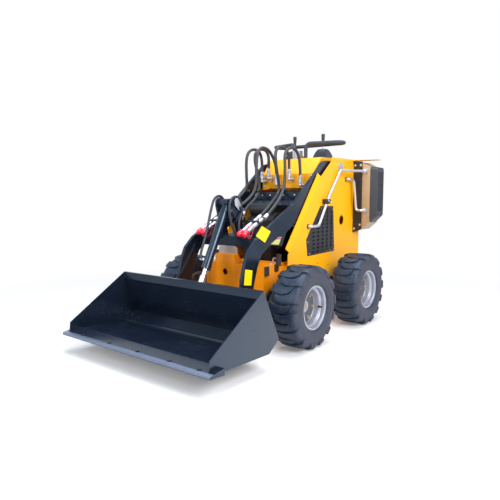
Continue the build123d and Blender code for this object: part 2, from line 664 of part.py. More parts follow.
# Hitch behind the bucket with ears for the arms and the tilt cylinder
def hitch_plate():
    plate = [back(0.03, 0), back(0.93, 0), back(0.93, HITCH_T), back(0.03, HITCH_T)]
    hitch = slab_x(flat(plate), -TUB_X, TUB_X)
    pin_y, pin_z = BUCKET_PIN
    eye_y, eye_z = TILT_EYE
    ear = [back(0.14, 6), back(0.9, 6), (pin_y, pin_z - 34), (pin_y + 34, pin_z - 12),
           (pin_y + 31, pin_z + 20), (pin_y, pin_z + 34)]
    tab = [back(0.06, 6), back(0.6, 6), (eye_y, eye_z - 28), (eye_y + 27, eye_z - 10),
           (eye_y + 25, eye_z + 12), (eye_y, eye_z + 28)]
    for name, s in SIDES:
        hitch += slab_x(soft(ear, [10, 5, 12, 12, 12, 12]), s * (ARM_IN - 22), s * (ARM_IN - 10))
        hitch += pin_x(BUCKET_PIN, PIN_R, s * (ARM_IN - 22), s * (ARM_OUT + 8))
        hitch += slab_x(soft(tab, [5, 5, 10, 10, 10, 10]), s * (TILT_HALF + 2), s * (TILT_HALF + 14))
        hitch += pin_x(TILT_EYE, 16, s * (TILT_HALF + 14), s * (TILT_HALF + 20))
    return hitch


parts["hitch_plate"] = hitch_plate()

# Wheels, a tyre with curved lugs in two staggered rings and a dished rim
HALF = TYRE_W / 2
SEAT_X = RIM_HALF - 3.0 - BEAD_FIT
# columns: distance outboard of the wheel's middle, share of the way from bead to tread
casing_rows = [(SEAT_X, 0), (SEAT_X, 0.08), (RIM_HALF + 6, 0.15), (HALF - 2, 0.49), (HALF - 4, 0.72),
               (HALF - 18, 0.88), (58, 0.91)]
lining_rows = [(RIM_HALF - 14, 0), (HALF - 13, 0.47), (HALF - 17, 0.77), (58, 0.85)]
lug_rows = [(HALF, 0.62), (HALF, 0.8), (HALF - 9, 0.95), (HALF - 30, 1.0)]
# columns: x across the tread, distance round the tread, for a lug from the outer shoulder
lug_edge = [(HALF + 2, -25), (44, -31), (-18, -27), (-50, -8), (-48, 14), (-12, 12), (42, 15), (HALF + 2, 30)]


def mirrored(rows):
    return rows + [(-u, v) for u, v in reversed(rows)]


def to_radius(rows):
    return [(u, BEAD_R + share * (TYRE_R - BEAD_R)) for u, share in rows]


def lug_prism(flip, turn):
    outline = flat([(flip * x, y) for x, y in lug_edge])
    return Rot(turn, 0, 0) * slab_z(outline, BEAD_R + 0.6 * (TYRE_R - BEAD_R), TYRE_R + 2)


def tyre():
    casing = ring_x(to_radius(mirrored(casing_rows)) + list(reversed(to_radius(mirrored(lining_rows)))))
    zone = ring_x(to_radius(mirrored(lug_rows)))
    core = ring_x(to_radius([(HALF + 1, 0.45), (HALF + 1, 0.66), (HALF - 8, 0.8), (-HALF + 8, 0.8),
                             (-HALF - 1, 0.66), (-HALF - 1, 0.45)]))
    step = 360.0 / LUGS
    prisms = [lug_prism(1, i * step) for i in range(LUGS)]
    prisms += [lug_prism(-1, (i + 0.5) * step) for i in range(LUGS)]
    lugs = [(prism & zone) - core for prism in prisms]
    return casing + lugs


def rim():
    rows = [(RIM_HALF, BEAD_R - 6), (RIM_HALF, BEAD_R + 8), (RIM_HALF - 3, BEAD_R + 9),
            (RIM_HALF - 3, BEAD_R - 0.5), (58, BEAD_R - 0.5), (50, BEAD_R - 16)]
    inside = [(-54, BEAD_R - 6), (-46, BEAD_R - 22), (3, BEAD_R - 22), (3, 20), (13, 20), (13, BEAD_R - 22),
              (46, BEAD_R - 22), (54, BEAD_R - 6)]
    return ring_x(mirrored(rows)[:-1] + [(-RIM_HALF, BEAD_R - 6)] + inside)


one_tyre = tyre()
one_rim = rim()
for end, y in (("front", FRONT_AXLE), ("rear", REAR_AXLE)):
    for name, s in SIDES:
        seat = Pos(s * WHEEL_X, y, TYRE_R)
        parts["tyre_" + end + "_" + name] = seat * (one_tyre if s > 0 else mirror(one_tyre, about=Plane.YZ))
        parts["rim_" + end + "_" + name] = seat * (one_rim if s > 0 else mirror(one_rim, about=Plane.YZ))

os.makedirs("parts", exist_ok=True)
for name, shape in parts.items():
    shape = Pos(0, -Y_SHIFT, 0) * shape
    shape.label = name
    export_step(shape, "parts/" + name + ".step")
    box = shape.bounding_box()
    print(name, len(shape.solids()), [round(v, 1) for v in (*box.min, *box.max)])
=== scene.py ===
# %% [markdown]
# Mini loader, the looks
# A small walk-behind loader: a yellow body on four lugged tyres, blue-black lift arms and a
# bucket. The solids come packed from the part's own source and stay where they are. This
# lesson gives them finishes, and adds what is too fine for a solid: tread, hoses, bolts.

# %% Load the frame
import bpy
import bmesh
from math import cos, pi, radians, sin, sqrt
from mathutils import Matrix, Vector


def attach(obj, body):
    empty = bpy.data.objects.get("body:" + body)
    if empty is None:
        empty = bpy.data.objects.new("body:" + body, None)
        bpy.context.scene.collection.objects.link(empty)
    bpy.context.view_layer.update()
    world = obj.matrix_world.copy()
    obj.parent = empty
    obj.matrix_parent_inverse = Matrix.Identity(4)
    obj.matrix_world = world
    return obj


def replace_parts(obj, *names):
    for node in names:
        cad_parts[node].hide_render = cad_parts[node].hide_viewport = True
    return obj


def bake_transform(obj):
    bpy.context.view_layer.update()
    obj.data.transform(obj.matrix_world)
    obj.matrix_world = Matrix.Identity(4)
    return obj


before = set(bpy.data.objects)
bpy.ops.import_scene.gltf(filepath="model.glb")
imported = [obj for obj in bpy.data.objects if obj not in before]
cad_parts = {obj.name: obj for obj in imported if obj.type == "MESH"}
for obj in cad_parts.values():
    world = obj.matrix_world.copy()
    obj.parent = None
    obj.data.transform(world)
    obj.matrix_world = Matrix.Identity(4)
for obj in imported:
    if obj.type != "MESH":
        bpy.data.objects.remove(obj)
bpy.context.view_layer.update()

# %% [markdown]
# The part was drawn in millimetres, with y counted from near the front axle. Keeping those
# numbers makes every piece easy to place, so one matrix turns them into the frame's metres.

# %% One matrix from drawing millimetres to the frame
TO_FRAME = Matrix.Translation((0, -0.0925, 0)) @ Matrix.Scale(0.001, 4)


def at(x, y, z):
    return TO_FRAME @ Vector((x, y, z))


print("pivot at", at(0, 807, 1139))

# %% [markdown]
# The camera stands in front of the machine's left corner, a little above the deck, and looks
# slightly down. Its place was solved from wheels and bucket. A lens shift keeps the machine
# where it stands in the square picture, which moves the frame without tilting the lines.

# %% Camera
CAMERA_PLACE = Matrix.Translation((1.9958, -2.6495, 0.9162))
YAW, PITCH, ROLL = 40.13, -6.34, -0.53

lens = bpy.data.cameras.new("view")
lens.lens = 35.01
lens.shift_x = 0.0503
lens.shift_y = 0.0043
camera = bpy.data.objects.new("view", lens)
turn = Matrix.Rotation(radians(YAW), 4, "Z") @ Matrix.Rotation(radians(90 + PITCH), 4, "X")
turn = turn @ Matrix.Rotation(radians(ROLL), 4, "Z")
camera.matrix_world = CAMERA_PLACE @ turn
bpy.context.scene.collection.objects.link(camera)
bpy.context.scene.camera = camera


def pixel(point):
    # where a point of the frame falls in a picture 500 wide
    near = (CAMERA_PLACE @ turn).inverted() @ point
    size = lens.lens / 36 * 500
    return (250 + size * near.x / -near.z - lens.shift_x * 500,
            250 - size * near.y / -near.z + lens.shift_y * 500)


print("handle's ends fall at", pixel(at(290, 800, 1322)), pixel(at(-290, 800, 1322)))

# %% [markdown]
# Node finishes are easier to read as sums than as a list of links. The small class below
# wraps one socket, so that 1 - mask or 0.3 + 0.1 * noise adds the maths nodes by itself.

# %% Sockets that can be added and multiplied
class Wire:
    def __init__(self, finish, socket):
        self.finish = finish
        self.socket = socket

    def sum(self, operation, first, second):
        return self.finish.node("ShaderNodeMath", {"operation": operation}, {0: first, 1: second})

    def __add__(self, other):
        return self.sum("ADD", self, other)

    def __sub__(self, other):
        return self.sum("SUBTRACT", self, other)

    def __rsub__(self, other):
        return self.sum("SUBTRACT", other, self)

    def __mul__(self, other):
        return self.sum("MULTIPLY", self, other)

    __radd__ = __add__
    __rmul__ = __mul__


# %% [markdown]
# A finish is a material with a few helpers: noise that is measured in the frame's metres, a
# blend of two colours, and a bump. Colours are written as seen on a screen, from 0 to 255,
# and turned into the linear values that light needs.

# %% A finish and its helpers
def seen(red, green, blue):
    # a screen colour as linear light
    levels = [v / 255 for v in (red, green, blue)]
    return [v / 12.92 if v < 0.04045 else ((v + 0.055) / 1.055) ** 2.4 for v in levels] + [1.0]


class Finish:
    def __init__(self, name, **fixed):
        self.material = bpy.data.materials.new(name)
        self.material.use_nodes = True
        self.tree = self.material.node_tree
        self.shader = self.tree.nodes["Principled BSDF"]
        self.place = self.node("ShaderNodeTexCoord", {}, {}, "Object")
        for socket, value in fixed.items():
            self.shader.inputs[socket.replace("_", " ")].default_value = value

    def node(self, kind, settings, inputs, output=0):
        new = self.tree.nodes.new(kind)
        for key, value in settings.items():
            setattr(new, key, value)
        for key, value in inputs.items():
            if isinstance(value, Wire):
                self.tree.links.new(value.socket, new.inputs[key])
            else:
                new.inputs[key].default_value = value
        return Wire(self, new.outputs[output])

    def noise(self, scale, detail=3.0, stretch=(1, 1, 1), rough=0.5):
        point = self.node("ShaderNodeMapping", {}, {"Vector": self.place, "Scale": stretch})
        inputs = {"Vector": point, "Scale": scale, "Detail": detail, "Roughness": rough}
        return self.node("ShaderNodeTexNoise", {}, inputs)

    def step(self, value, low, high):
        # 0 below low, 1 above high and smooth between
        settings = {"interpolation_type": "SMOOTHSTEP"}
        return self.node("ShaderNodeMapRange", settings, {0: value, 1: low, 2: high})

    def colours(self, mask, first, second):
        # a blend of two colours or wires by a mask
        inputs = {0: mask, 6: first, 7: second}
        return self.node("ShaderNodeMix", {"data_type": "RGBA"}, inputs, 2)

    def along(self, name):
        # one coordinate of the place, X, Y or Z
        return self.node("ShaderNodeSeparateXYZ", {}, {0: self.place}, name)

    def bump(self, height, strength, distance):
        inputs = {"Height": height, "Strength": strength, "Distance": distance}
        return self.node("ShaderNodeBump", {}, inputs)

    def feed(self, **wires):
        for socket, wire in wires.items():
            self.tree.links.new(wire.socket, self.shader.inputs[socket.replace("_", " ")])
        return self


finishes = {}
print("a finish can be made")

# %% [markdown]
# The body is yellow powder coat. Powder melts into a skin with a fine ripple, the orange
# peel, and it lies a little thinner and darker here and there. A clear coat gives the gloss,
# a fine noise the ripple, and a broad one the slight change of tone and shine.

# %% Yellow powder coat
def yellow_coat(name, light, deep):
    paint = Finish(name, Coat_Roughness=0.16, Coat_IOR=1.4, Specular_IOR_Level=0.28)
    broad = paint.noise(3.5, 4)
    dust = paint.step(paint.noise(26, 5), 0.52, 0.75)
    base = paint.colours(broad, light, deep)
    base = paint.colours(dust * 0.06, base, seen(214, 160, 70))
    peel = paint.noise(420, 2)
    return paint.feed(Base_Color=base, Roughness=0.34 + 0.12 * broad + 0.1 * dust,
                      Coat_Weight=0.3 - 0.15 * dust, Normal=paint.bump(peel, 0.12, 0.0005))


finishes["yellow"] = yellow_coat("yellow_powder_coat", seen(255, 181, 0), seen(253, 170, 0))
# The frame wears a copy of the yellow coat in deeper orange tones, which is painted shade.
finishes["orange"] = yellow_coat("shaded_frame_coat", seen(250, 152, 0), seen(240, 138, 0))
print("yellow coats made")

# %% [markdown]
# Arms and bucket wear a blue-black gloss paint. It is nearly black when looked at straight,
# and shows slate blue where it mirrors the sky, so its highlights get a blue tint. Handling
# leaves faint scuffs, which are streaks of noise that dull the gloss and pale the colour.

# %% Blue-black gloss
def gloss_black(name, stretch, scuff, tone, rough=0.24):
    paint = Finish(name, Coat_Roughness=0.12, Specular_Tint=[0.50, 0.74, 1.0, 1.0],
                   Specular_IOR_Level=0.5)
    broad = paint.noise(5, 4)
    marks = paint.step(paint.noise(13, 6, stretch, 0.6), 0.58, 0.82)
    haze = paint.step(paint.noise(7, 3), 0.45, 0.8)
    base = paint.colours(broad, tone, [v * 0.55 for v in tone[:3]] + [1.0])
    base = paint.colours(marks * scuff + haze * 0.03, base, seen(92, 106, 130))
    peel = paint.noise(380, 2)
    return paint.feed(Base_Color=base, Roughness=rough + 0.12 * marks + 0.06 * haze,
                      Coat_Weight=0.3 - 0.2 * marks, Normal=paint.bump(peel, 0.08, 0.0004))


finishes["arm"] = gloss_black("arm_gloss_black", (1, 0.35, 0.35), 0.05, seen(22, 30, 44))
finishes["bucket"] = gloss_black("bucket_gloss_black", (0.25, 1, 1), 0.07, seen(22, 31, 46))
print("gloss blacks made")

# %% [markdown]
# Grilles, cooler shroud, brackets and stops are satin black sheet: a flat powder coat with a
# fine grain that scatters the light, greyer and duller than the gloss paint.

# %% Satin black sheet
def satin_black(name, tone, grain, rough):
    paint = Finish(name)
    broad = paint.noise(6, 4)
    fine = paint.noise(grain, 3)
    dust = paint.step(paint.noise(30, 5), 0.5, 0.8)
    base = paint.colours(broad, tone, [v * 0.6 for v in tone[:3]] + [1.0])
    base = paint.colours(dust * 0.08, base, seen(128, 118, 104))
    return paint.feed(Base_Color=base, Roughness=rough + 0.14 * fine,
                      Normal=paint.bump(fine, 0.3, 0.0006))


finishes["sheet"] = satin_black("satin_black_sheet", seen(36, 36, 42), 520, 0.40)
finishes["cast"] = satin_black("black_casting", seen(22, 24, 29), 210, 0.46)
finishes["shroud"] = satin_black("moulded_shroud", seen(50, 52, 60), 640, 0.36)
print("satin blacks made")

# %% [markdown]
# Bright metal comes in three sorts. Zinc plating is pale and faintly cloudy, chrome on the
# rods is a mirror with hair-fine marks round it, and turned steel lies between the two.

# %% Bright metals
def bright(name, tone, rough, cloud, scale, stretch=(1, 1, 1), shine=0.72):
    metal = Finish(name)
    broad = metal.noise(scale, 4, stretch)
    fine = metal.noise(480, 2, stretch)
    base = metal.colours(broad, tone, [v * (1 - cloud) for v in tone[:3]] + [1.0])
    return metal.feed(Base_Color=base, Roughness=rough + 0.16 * broad,
                      Metallic=shine + 0.1 * broad, Normal=metal.bump(fine, 0.10, 0.0004))


finishes["zinc"] = bright("zinc_plating", seen(214, 216, 224), 0.22, 0.3, 40)
finishes["chrome"] = bright("hard_chrome", seen(228, 231, 238), 0.06, 0.12, 14, (1, 1, 8), 0.88)
finishes["ferrule"] = bright("crimped_steel", seen(206, 208, 218), 0.32, 0.25, 60)
finishes["brass"] = bright("passivated_steel", seen(196, 170, 130), 0.34, 0.3, 50)
print("metals made")

# %% [markdown]
# The rims are sprayed silver over pressed steel. The paint holds fine flake, so it is part
# metal, and grime gathers where the steps turn in.

# %% Silver rim paint
silver = Finish("silver_rim_paint", Coat_Roughness=0.2)
flake = silver.noise(900, 2)
grime = silver.step(silver.noise(16, 5), 0.5, 0.72)
coat = silver.colours(silver.noise(5, 3), seen(172, 175, 186), seen(152, 155, 167))
coat = silver.colours(grime * 0.35, coat, seen(120, 110, 100))
finishes["rim"] = silver.feed(Base_Color=coat, Metallic=0.45 + 0.1 * flake, Roughness=0.34 + 0.2 * grime,
                              Coat_Weight=0.25 - 0.2 * grime, Normal=silver.bump(flake, 0.08, 0.0003))
print("rim paint made")

# %% [markdown]
# Tyre rubber is slate-dark with a soft shine on the tread, and lighter, greyer and duller on
# the walls, with patches of dried dust all over. The distance from the wheel's middle plane
# tells one from the other, so the finish reads the width coordinate, which is the same on both sides.

# %% Tyre rubber
rubber = Finish("tyre_rubber", Specular_IOR_Level=0.42,
                Specular_Tint=[0.62, 0.80, 1.0, 1.0])
width = rubber.along("X")
width = rubber.node("ShaderNodeMath", {"operation": "ABSOLUTE"}, {0: width})
wall = rubber.step(width + rubber.noise(30, 3) * 0.03, 0.565, 0.592)
dry = rubber.step(rubber.noise(45, 6, rough=0.65), 0.47, 0.66)
tread_tone = rubber.colours(rubber.noise(9, 4), seen(38, 50, 68), seen(29, 38, 53))
wall_tone = rubber.colours(rubber.noise(12, 4), seen(64, 63, 74), seen(51, 51, 62))
base = rubber.colours(wall, tread_tone, wall_tone)
base = rubber.colours(dry * 0.16, base, seen(112, 100, 92))
skin = rubber.noise(260, 4)
finishes["tyre"] = rubber.feed(Base_Color=base, Roughness=0.40 + 0.18 * wall + 0.12 * dry,
                               Normal=rubber.bump(skin, 0.3, 0.0008))
print("tyre rubber made")

# %% [markdown]
# Hoses have a smooth woven cover, grips are open foam, boots are soft moulded rubber. All
# are dark and differ in the size and depth of their grain, so one recipe makes them.

# %% Soft rubbers
def soft_black(name, tone, grain, depth, rough):
    skin = Finish(name, Specular_IOR_Level=0.4)
    pores = skin.node("ShaderNodeTexVoronoi", {}, {"Vector": skin.place, "Scale": grain}, "Distance")
    broad = skin.noise(18, 4)
    base = skin.colours(broad, tone, [v * 0.55 for v in tone[:3]] + [1.0])
    base = skin.colours(skin.step(broad, 0.5, 0.8) * 0.12, base, seen(120, 114, 108))
    return skin.feed(Base_Color=base, Roughness=rough + 0.15 * broad,
                     Normal=skin.bump(pores, depth, 0.0007))


finishes["hose"] = soft_black("hose_cover", seen(66, 66, 70), 700, 0.15, 0.42)
finishes["foam"] = soft_black("foam_grip", seen(62, 66, 76), 420, 0.5, 0.55)
finishes["boot"] = soft_black("boot_rubber", seen(48, 54, 66), 300, 0.2, 0.38)
finishes["stop"] = soft_black("stop_rubber", seen(58, 52, 50), 300, 0.2, 0.55)
print("soft rubbers made")

# %% [markdown]
# Caps and rings are moulded red plastic with a slight depth of colour. Blank vinyl labels,
# the white filter can and the grey guard are plain paint or film with a faint unevenness.

# %% Plastics, films and plain paints
def plain(name, tone, change, rough, coat=0.0):
    cover = Finish(name, Coat_Roughness=0.1)
    broad = cover.noise(30, 4)
    fine = cover.noise(500, 2)
    base = cover.colours(broad, tone, [v * (1 - change) for v in tone[:3]] + [1.0])
    return cover.feed(Base_Color=base, Roughness=rough + 0.1 * broad,
                      Coat_Weight=coat + 0.08 * broad, Normal=cover.bump(fine, 0.08, 0.0003))


finishes["red"] = plain("moulded_red", seen(250, 26, 62), 0.2, 0.3, 0.4)
finishes["vinyl"] = plain("yellow_vinyl", seen(252, 222, 0), 0.06, 0.4, 0.1)
finishes["beige"] = plain("pale_vinyl", seen(208, 204, 122), 0.12, 0.35, 0.2)
finishes["pink"] = plain("pink_vinyl", seen(196, 112, 128), 0.12, 0.35, 0.2)
finishes["can"] = plain("white_can", seen(222, 224, 230), 0.1, 0.25, 0.5)
finishes["grey"] = plain("grey_guard", seen(176, 170, 164), 0.2, 0.45, 0.1)
finishes["disc"] = plain("grey_disc", seen(84, 85, 90), 0.25, 0.5)
finishes["wear"] = plain("worn_edge", seen(98, 110, 134), 0.3, 0.35, 0.1)
print("plain finishes made")

# %% [markdown]
# The cooler's core is a stack of thin aluminium fins between tubes. From the side only the
# edge of the frame and the fins shows, a warm gold grey with fine level lines, so a wave on
# the height coordinate gives the fins and a bump makes them catch light.

# %% Cooler fins
fins = Finish("aluminium_fins")
height = fins.along("Z")
inner = fins.step(fins.along("X"), 0.3632, 0.3640) * (1 - fins.step(fins.along("X"), 0.4205, 0.4235))
ripple = fins.node("ShaderNodeMath", {"operation": "SINE"}, {0: height * 1250.0})
lines = fins.step(ripple, -0.3, 0.7)
base = fins.colours(fins.noise(14, 4), seen(190, 169, 138), seen(174, 154, 124))
base = fins.colours(lines * inner * 0.25, base, seen(120, 100, 76))
finishes["fins"] = fins.feed(Base_Color=base, Metallic=0.35 + 0.1 * lines, Roughness=0.38 + 0.1 * lines,
                             Normal=fins.bump(lines * inner, 0.25, 0.0008))
print("fins made")

# %% [markdown]
# Each solid that stays gets its finish by name, through the slots of its own object.

# %% Finishes on the solids
wearing = {
    "yellow": ["side_panel_left", "side_panel_right", "tower_console", "rear_panel"],
    "orange": ["chassis_frame"],
    "sheet": ["grilles", "cooler_bracket", "coupler_brackets"],
    "stop": ["arm_stops"],
    "shroud": ["cooler_shroud"],
    "cast": ["engine", "hub_motors"],
    "grey": ["guard_plate"],
    "can": ["oil_filter"],
    "foam": ["handlebar"],
    "zinc": ["valve_block", "hose_ports", "cooler_pipes", "lifting_eyes", "pivot_pins", "couplers"],
    "fins": ["cooler_core"],
    "arm": ["lift_arm_left", "lift_arm_right", "cross_plate", "cross_member", "lift_barrel_left",
            "lift_barrel_right", "tilt_barrel", "hitch_plate"],
    "bucket": ["bucket_shell"],
    "chrome": ["lift_rod_left", "lift_rod_right", "tilt_rod"],
    "hose": ["hoses", "joysticks"],
    "red": ["coupler_caps"],
    "tyre": [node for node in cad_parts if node.startswith("tyre")],
    "rim": [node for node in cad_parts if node.startswith("rim")],
}
for finish, nodes in wearing.items():
    for node in nodes:
        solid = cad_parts[node]
        if not solid.material_slots:
            solid.data.materials.append(None)
        for place in solid.material_slots:
            place.material = finishes[finish].material
print("finished solids", sum(len(nodes) for nodes in wearing.values()))

# %% [markdown]
# New pieces are drawn in the drawing's millimetres as a bmesh. One helper closes the mesh,
# puts it into the frame, shades it smooth with crisp corners, and lets it ride on its body.

# %% From a bmesh to a piece
def made(name, shape, finish, body, crisp=32, merge=0.004, redo=True):
    if redo:
        bmesh.ops.remove_doubles(shape, verts=shape.verts, dist=merge)
        bmesh.ops.recalc_face_normals(shape, faces=shape.faces)
    mesh = bpy.data.meshes.new(name)
    shape.to_mesh(mesh)
    shape.free()
    mesh.transform(TO_FRAME)
    mesh.shade_smooth()
    mesh.set_sharp_from_angle(angle=radians(crisp))
    mesh.materials.append(finishes[finish].material)
    piece = bpy.data.objects.new(name, mesh)
    bpy.context.scene.collection.objects.link(piece)
    if body:
        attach(piece, body)
    print(name, "faces", len(mesh.polygons))
    return piece


def add_to(whole, part, place):
    # copies a small bmesh into a big one
    copy = bpy.data.meshes.new("copy")
    part.to_mesh(copy)
    copy.transform(place)
    if place.determinant() < 0:
        copy.flip_normals()
    whole.from_mesh(copy)
    bpy.data.meshes.remove(copy)


def facing(point, direction):
    # a place whose z axis points along direction
    turned = Vector(direction).to_track_quat("Z", "Y").to_matrix().to_4x4()
    return Matrix.Translation(Vector(point)) @ turned


# %% [markdown]
# Many things here are turned: rims, nuts, caps, knobs. A row of points is spun round an axis,
# as on a lathe, and every corner sharper than 30 degrees is then rounded by a bevel.

# %% Turned shapes
def soften(shape, width, segments=2, angle=30):
    edges = [e for e in shape.edges if len(e.link_faces) == 2 and e.calc_face_angle() > radians(angle)]
    bmesh.ops.bevel(shape, geom=edges, offset=width, segments=segments, profile=0.5, affect="EDGES",
                    clamp_overlap=True, material=-1)


def turned(rows, steps=32, width=0.0, closed=False):
    # rows are (height along z, radius)
    shape = bmesh.new()
    ring = [shape.verts.new((radius, 0, height)) for height, radius in rows]
    pairs = list(zip(ring, ring[1:] + ring[:1])) if closed else list(zip(ring, ring[1:]))
    edges = [shape.edges.new(pair) for pair in pairs]
    bmesh.ops.spin(shape, geom=ring + edges, cent=(0, 0, 0), axis=(0, 0, 1), angle=2 * pi, steps=steps,
                   use_merge=True)
    bmesh.ops.remove_doubles(shape, verts=shape.verts, dist=0.004)
    bmesh.ops.recalc_face_normals(shape, faces=shape.faces)
    if width:
        soften(shape, width)
    return shape


def hexagon(size, height):
    # a nut or bolt head with a washer under it, standing on z = 0
    head = bmesh.new()
    bmesh.ops.create_cone(head, cap_ends=True, segments=6, radius1=size, radius2=size, depth=height,
                          matrix=Matrix.Translation((0, 0, 1.5 + height / 2)))
    soften(head, 0.12 * size, 1)
    washer = turned([(0, 0), (0, size * 1.35), (1.6, size * 1.35), (1.6, 0)], 20)
    add_to(head, washer, Matrix.Identity(4))
    washer.free()
    return head


print("lathe ready")

# %% [markdown]
# Hoses. Five pressure lines leave the tower's ports, rise in tall loops and come down to the
# plate between the arms, where clamps hold them. Both ends are held, and the arms move, so on
# the machine a hose bends between two bodies; here each is one fixed mesh on no body. A smooth
# spline through few control points draws each loop.

# %% Hose loops
def hose_line(name, points, radius, body=None):
    line = bpy.data.curves.new(name + "_line", "CURVE")
    line.dimensions = "3D"
    line.bevel_depth = radius / 1000
    line.bevel_resolution = 5
    line.resolution_u = 10
    line.use_fill_caps = True
    run = line.splines.new("NURBS")
    run.points.add(len(points) - 1)
    for knot, point in zip(run.points, points):
        knot.co = (*at(*point), 1)
    run.order_u = 3
    run.use_endpoint_u = True
    holder = bpy.data.objects.new(name + "_line", line)
    bpy.context.scene.collection.objects.link(holder)
    bpy.context.view_layer.update()
    mesh = bpy.data.meshes.new_from_object(holder.evaluated_get(bpy.context.evaluated_depsgraph_get()))
    bpy.data.objects.remove(holder)
    mesh.name = name
    mesh.shade_smooth()
    mesh.set_sharp_from_angle(angle=radians(60))
    mesh.materials.clear()
    mesh.materials.append(finishes["hose"].material)
    piece = bpy.data.objects.new(name, mesh)
    bpy.context.scene.collection.objects.link(piece)
    if body:
        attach(piece, body)
    return piece


# columns: port x and z, the loop's control points as (y, z), the end beyond the clamp
loops = [
    ("hose_far", -196, 1040, [(497, 1190), (455, 1272), (350, 1272), (294, 1215), (296, 1080), (305, 985)],
     [(-195, 190, 912), (-192, 60, 838), (-190, -20, 787)]),
    ("hose_mid", -136, 1060, [(500, 1180), (478, 1262), (395, 1274), (320, 1242), (318, 1165), (368, 1075),
                              (378, 970)], [(-128, 300, 900), (-110, 170, 838), (-100, 120, 790)]),
    ("hose_centre", -65, 1015, [(496, 1120), (458, 1200), (390, 1264), (300, 1276), (252, 1230),
                                (238, 1120), (244, 985)], [(-90, 170, 895), (-135, 60, 835),
                                                           (-150, -40, 781)]),
    ("hose_near", 47, 1050, [(490, 1160), (482, 1234), (420, 1274), (345, 1270), (306, 1225), (328, 1110),
                             (362, 1000), (352, 945)], [(80, 230, 890), (140, 70, 835), (150, -40, 781)]),
    ("hose_side", 141, 1005, [(488, 1120), (474, 1208), (414, 1262), (336, 1258), (286, 1215), (292, 1130),
                              (288, 1000)], [(150, 220, 912), (184, 80, 842), (190, -20, 787)]),
]
hoses = []
for name, x, z, loop, tail in loops:
    points = [(x, 492, z + 34)] + [(x, y, high) for y, high in loop] + tail
    piece = hose_line(name, points, 10.6)
    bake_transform(piece)
    hoses.append(piece)
    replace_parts(piece, "hoses")
print("hoses", len(hoses))

# %% [markdown]
# Every hose ends in a steel ferrule that is crimped on: a sleeve with narrow rings pressed
# in, and a hexagon behind it. The sleeve is turned, with a groove wherever the die closed.

# %% Ferrules
def ferrule(length, radius):
    rows = [(0, 0), (0, radius + 1.5), (9, radius + 1.5), (9, radius - 1)]
    pitch = (length - 16) / 4
    for i in range(4):
        low = 12 + i * pitch
        rows += [(low, radius), (low + pitch - 3, radius), (low + pitch - 2, radius - 1)]
    rows += [(length, radius - 1), (length, 0)]
    return turned(rows, 24)


sleeve = ferrule(46, 14.0)
ports = bmesh.new()
for name, x, z, loop, tail in loops:
    add_to(ports, sleeve, facing((x, 492, z + 26), (0, 0.02, 1)))
made("ferrules_tower", ports, "ferrule", "chassis")
ends = bmesh.new()
for name, x, z, loop, tail in loops:
    tip, before = Vector(tail[-1]), Vector(tail[-2])
    add_to(ends, sleeve, facing(tip - (before - tip).normalized() * 6, before - tip))
made("ferrules_arms", ends, "ferrule", "boom")
sleeve.free()

# %% [markdown]
# At each port an elbow turns the line up, with a swivel nut on either side. The nuts are
# what one sees at this size, so they are hexagons round the port's own tubes.

# %% Port nuts and hose clamps
nuts = bmesh.new()
nut = hexagon(13.5, 13)
for name, x, z, loop, tail in loops:
    add_to(nuts, nut, facing((x, 524, z), (0, -1, 0)))
    add_to(nuts, nut, facing((x, 492, z + 12), (0, 0, 1)))
nut.free()
made("port_nuts", nuts, "zinc", "chassis")

# columns: where each hose crosses the plate
clamps = bmesh.new()
heads = bmesh.new()
band = turned([(-9, 10.8), (-9, 13.4), (9, 13.4), (9, 10.8)], 24, 0.5, True)
small = hexagon(4.5, 4)
for x, y, z in [(-196, 322, 967), (-136, 372, 966), (-65, 255, 967), (47, 354, 960), (141, 300, 974)]:
    add_to(clamps, band, facing((x, y, z), (0, 0.45, 1)))
    add_to(heads, small, facing((x + 20, 383, 934), (0, -1, 0)))
band.free()
made("hose_bands", clamps, "sheet", "boom")
made("hose_band_screws", heads, "zinc", "boom")

# %% [markdown]
# Tyres. The tread is two rows of thick lugs that curve like a smile from the shoulder past
# the middle and end in a hook, the two rows half a pitch apart. One lug is a small grid,
# pushed up into a block and rounded, then wrapped round the wheel and copied.

# %% One lug, flat
LUGS = 14
TREAD_R = 255.0
CROWN_R = 241.0
SHOULDER_X = 90.0
# columns: x and radius of the top, x and radius of the foot, middle and half width round the tread
lug_rows = [(97.5, 214, 88, 214, 7, 30), (98.6, 228, 86, 224, 6, 29.5), (95, 241, 82, 232, 4, 28.5),
            (86, 249.5, 74, 236, 1, 28), (66, 254, 62, 239, -5, 27), (40, 254.8, 40, 239.5, -11, 26),
            (10, 255, 10, 240, -14, 24.5), (-18, 255, -18, 240, -11, 23), (-36, 255, -36, 240, -3, 20),
            (-47, 255, -47, 240, 6, 15), (-53, 255, -53, 240, 14, 8)]


def between(share):
    # the lug's row at a share of its length, straight between two listed rows
    spot = min(max(share, 0.0), 1.0) * (len(lug_rows) - 1)
    low = min(int(spot), len(lug_rows) - 2)
    part = spot - low
    return [a + (b - a) * part for a, b in zip(lug_rows[low], lug_rows[low + 1])]


def wrapped(point):
    # from (share of length, -1..1 across, 0 foot to 1 top) to the round tread
    top_x, top_r, foot_x, foot_r, middle, half = between(point.x)
    x = foot_x + (top_x - foot_x) * point.z
    radius = foot_r + (top_r - foot_r) * point.z
    swing = (middle + half * point.y * (1.06 - 0.12 * point.z)) / TREAD_R
    return Vector((x, radius * sin(swing), radius * cos(swing)))


